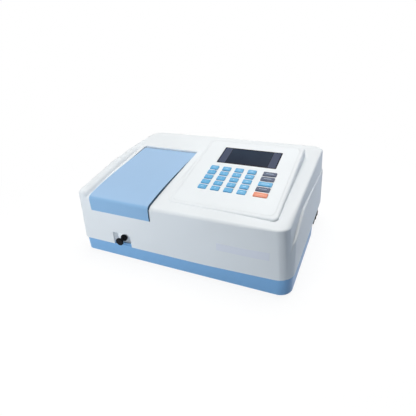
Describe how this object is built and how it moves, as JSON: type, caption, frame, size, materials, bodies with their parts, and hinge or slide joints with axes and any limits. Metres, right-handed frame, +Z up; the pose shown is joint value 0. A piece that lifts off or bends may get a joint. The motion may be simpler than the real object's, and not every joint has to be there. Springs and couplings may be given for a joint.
{
  "type": "scanning spectrophotometer",
  "caption": "Bench-top scanning spectrophotometer: white cover on a blue base, hinged blue sample lid, sloped console with display and keys, black pull knob",
  "frame": {"origin": "Middle of the part's bounding box at the height of the feet's undersides", "axes": "+X to the right as seen from the front, +Y to the rear, +Z up"},
  "size_m": [0.4647, 0.3504, 0.194],
  "materials": {
    "base_blue": "satin enamel",
    "foot_rubber": "matt",
    "cover_white": "fine grain, satin",
    "lid_blue": "satin",
    "grey_plastic": "matt",
    "bright_steel": "ground",
    "foam_black": "matt foam",
    "chamber_black": "matt",
    "anodised_black": "matt black anodised",
    "knob_black": "satin",
    "panel_white": "satin film",
    "window_tint": "gloss",
    "display_grey": "matt",
    "board_green": "satin",
    "switch_black": "satin",
    "bare_aluminium": "plain",
    "box_grey": "satin",
    "brass_gold": "turned",
    "motor_black": "satin",
    "lamp_glass": "clear",
    "mirror_face": "polished",
    "key_blue": "satin",
    "key_dark": "satin",
    "key_orange": "satin"
  },
  "bodies": {
    "instrument": {"base_tray": "base_blue", "rubber_feet": "foot_rubber", "top_cover": "cover_white", "bench_screws": "bright_steel", "lid_hinge_brackets": "grey_plastic", "lid_hinge_pins": "bright_steel", "chamber_seal": "foam_black", "sample_chamber": "chamber_black", "guide_rails": "bright_steel", "rod_bush": "grey_plastic", "console_panel": "panel_white", "display_window": "window_tint", "display_module": "display_grey", "keypad_board": "board_green", "power_switch": "switch_black", "rear_panel": "bare_aluminium", "mains_inlet": "switch_black", "fan_frame": "switch_black", "optical_bench": "bare_aluminium", "monochromator_box": "box_grey", "grating_motor": "motor_black", "lamp_housing": "bare_aluminium", "tungsten_lamp": "lamp_glass", "deuterium_lamp": "lamp_glass", "detector_box": "motor_black", "main_board": "board_green", "power_supply": "bare_aluminium"},
    "lid": {"sample_lid": "lid_blue"},
    "cell_changer": {"cell_carriage": "anodised_black", "pull_rod": "bright_steel", "pull_knob": "knob_black"},
    "rocker": {"power_rocker": "switch_black"},
    "fan": {"fan_rotor": "switch_black"},
    "grating": {"grating_turntable": "brass_gold"},
    "mirror": {"source_mirror": "mirror_face"},
    "press_key_r1_c1": {"key_r1_c1": "key_blue"},
    "press_key_r1_c2": {"key_r1_c2": "key_blue"},
    "press_key_r1_c3": {"key_r1_c3": "key_blue"},
    "press_key_r1_c4": {"key_r1_c4": "key_blue"},
    "press_key_r2_c1": {"key_r2_c1": "key_blue"},
    "press_key_r2_c2": {"key_r2_c2": "key_blue"},
    "press_key_r2_c3": {"key_r2_c3": "key_blue"},
    "press_key_r2_c4": {"key_r2_c4": "key_blue"},
    "press_key_r3_c1": {"key_r3_c1": "key_blue"},
    "press_key_r3_c2": {"key_r3_c2": "key_blue"},
    "press_key_r3_c3": {"key_r3_c3": "key_blue"},
    "press_key_r3_c4": {"key_r3_c4": "key_blue"},
    "press_key_r4_c1": {"key_r4_c1": "key_blue"},
    "press_key_r4_c2": {"key_r4_c2": "key_blue"},
    "press_key_r4_c3": {"key_r4_c3": "key_blue"},
    "press_key_r4_c4": {"key_r4_c4": "key_blue"},
    "press_key_r5_c1": {"key_r5_c1": "key_blue"},
    "press_key_r5_c2": {"key_r5_c2": "key_blue"},
    "press_key_r5_c3": {"key_r5_c3": "key_blue"},
    "press_key_r5_c4": {"key_r5_c4": "key_blue"},
    "press_side_key_1": {"side_key_1": "key_dark"},
    "press_side_key_2": {"side_key_2": "key_dark"},
    "press_side_key_3": {"side_key_3": "key_blue"},
    "press_side_key_4": {"side_key_4": "key_dark"},
    "press_side_key_5": {"side_key_5": "key_orange"}
  },
  "joints": [
    {"name": "lid_hinge", "type": "hinge", "parent": "instrument", "child": "lid", "pos_m": [-0.1215, 0.06075, 0.1637], "axis": [-1, 0, 0], "range_deg": [0, 80]},
    {"name": "changer_slide", "type": "slide", "parent": "instrument", "child": "cell_changer", "axis": [0, -1, 0], "range_m": [0, 0.06]},
    {"name": "rocker_hinge", "type": "hinge", "parent": "instrument", "child": "rocker", "pos_m": [0.2235, 0.11975, 0.0195], "axis": [0, 0, 1], "range_deg": [-8, 8]},
    {"name": "fan_spin", "type": "hinge", "parent": "instrument", "child": "fan", "pos_m": [0.15, 0.15275, 0.098], "axis": [0, 1, 0], "continuous": true},
    {"name": "grating_turn", "type": "hinge", "parent": "instrument", "child": "grating", "pos_m": [0.012, -0.03975, 0.051], "axis": [0, 0, 1], "range_deg": [-15, 30]},
    {"name": "mirror_turn", "type": "hinge", "parent": "instrument", "child": "mirror", "pos_m": [0.126, 0.07375, 0.041], "axis": [0, 0, 1], "range_deg": [-45, 0]},
    {"name": "key_r1_c1_travel", "type": "slide", "parent": "instrument", "child": "press_key_r1_c1", "axis": [0, 0.2079, -0.9781], "range_m": [0, 0.0008], "stiffness_N_per_m": 800},
    {"name": "key_r1_c2_travel", "type": "slide", "parent": "instrument", "child": "press_key_r1_c2", "axis": [0, 0.2079, -0.9781], "range_m": [0, 0.0008], "stiffness_N_per_m": 800},
    {"name": "key_r1_c3_travel", "type": "slide", "parent": "instrument", "child": "press_key_r1_c3", "axis": [0, 0.2079, -0.9781], "range_m": [0, 0.0008], "stiffness_N_per_m": 800},
    {"name": "key_r1_c4_travel", "type": "slide", "parent": "instrument", "child": "press_key_r1_c4", "axis": [0, 0.2079, -0.9781], "range_m": [0, 0.0008], "stiffness_N_per_m": 800},
    {"name": "key_r2_c1_travel", "type": "slide", "parent": "instrument", "child": "press_key_r2_c1", "axis": [0, 0.2079, -0.9781], "range_m": [0, 0.0008], "stiffness_N_per_m": 800},
    {"name": "key_r2_c2_travel", "type": "slide", "parent": "instrument", "child": "press_key_r2_c2", "axis": [0, 0.2079, -0.9781], "range_m": [0, 0.0008], "stiffness_N_per_m": 800},
    {"name": "key_r2_c3_travel", "type": "slide", "parent": "instrument", "child": "press_key_r2_c3", "axis": [0, 0.2079, -0.9781], "range_m": [0, 0.0008], "stiffness_N_per_m": 800},
    {"name": "key_r2_c4_travel", "type": "slide", "parent": "instrument", "child": "press_key_r2_c4", "axis": [0, 0.2079, -0.9781], "range_m": [0, 0.0008], "stiffness_N_per_m": 800},
    {"name": "key_r3_c1_travel", "type": "slide", "parent": "instrument", "child": "press_key_r3_c1", "axis": [0, 0.2079, -0.9781], "range_m": [0, 0.0008], "stiffness_N_per_m": 800},
    {"name": "key_r3_c2_travel", "type": "slide", "parent": "instrument", "child": "press_key_r3_c2", "axis": [0, 0.2079, -0.9781], "range_m": [0, 0.0008], "stiffness_N_per_m": 800},
    {"name": "key_r3_c3_travel", "type": "slide", "parent": "instrument", "child": "press_key_r3_c3", "axis": [0, 0.2079, -0.9781], "range_m": [0, 0.0008], "stiffness_N_per_m": 800},
    {"name": "key_r3_c4_travel", "type": "slide", "parent": "instrument", "child": "press_key_r3_c4", "axis": [0, 0.2079, -0.9781], "range_m": [0, 0.0008], "stiffness_N_per_m": 800},
    {"name": "key_r4_c1_travel", "type": "slide", "parent": "instrument", "child": "press_key_r4_c1", "axis": [0, 0.2079, -0.9781], "range_m": [0, 0.0008], "stiffness_N_per_m": 800},
    {"name": "key_r4_c2_travel", "type": "slide", "parent": "instrument", "child": "press_key_r4_c2", "axis": [0, 0.2079, -0.9781], "range_m": [0, 0.0008], "stiffness_N_per_m": 800},
    {"name": "key_r4_c3_travel", "type": "slide", "parent": "instrument", "child": "press_key_r4_c3", "axis": [0, 0.2079, -0.9781], "range_m": [0, 0.0008], "stiffness_N_per_m": 800},
    {"name": "key_r4_c4_travel", "type": "slide", "parent": "instrument", "child": "press_key_r4_c4", "axis": [0, 0.2079, -0.9781], "range_m": [0, 0.0008], "stiffness_N_per_m": 800},
    {"name": "key_r5_c1_travel", "type": "slide", "parent": "instrument", "child": "press_key_r5_c1", "axis": [0, 0.2079, -0.9781], "range_m": [0, 0.0008], "stiffness_N_per_m": 800},
    {"name": "key_r5_c2_travel", "type": "slide", "parent": "instrument", "child": "press_key_r5_c2", "axis": [0, 0.2079, -0.9781], "range_m": [0, 0.0008], "stiffness_N_per_m": 800},
    {"name": "key_r5_c3_travel", "type": "slide", "parent": "instrument", "child": "press_key_r5_c3", "axis": [0, 0.2079, -0.9781], "range_m": [0, 0.0008], "stiffness_N_per_m": 800},
    {"name": "key_r5_c4_travel", "type": "slide", "parent": "instrument", "child": "press_key_r5_c4", "axis": [0, 0.2079, -0.9781], "range_m": [0, 0.0008], "stiffness_N_per_m": 800},
    {"name": "side_key_1_travel", "type": "slide", "parent": "instrument", "child": "press_side_key_1", "axis": [0, 0.2079, -0.9781], "range_m": [0, 0.0008], "stiffness_N_per_m": 800},
    {"name": "side_key_2_travel", "type": "slide", "parent": "instrument", "child": "press_side_key_2", "axis": [0, 0.2079, -0.9781], "range_m": [0, 0.0008], "stiffness_N_per_m": 800},
    {"name": "side_key_3_travel", "type": "slide", "parent": "instrument", "child": "press_side_key_3", "axis": [0, 0.2079, -0.9781], "range_m": [0, 0.0008], "stiffness_N_per_m": 800},
    {"name": "side_key_4_travel", "type": "slide", "parent": "instrument", "child": "press_side_key_4", "axis": [0, 0.2079, -0.9781], "range_m": [0, 0.0008], "stiffness_N_per_m": 800},
    {"name": "side_key_5_travel", "type": "slide", "parent": "instrument", "child": "press_side_key_5", "axis": [0, 0.2079, -0.9781], "range_m": [0, 0.0008], "stiffness_N_per_m": 800}
  ]
}
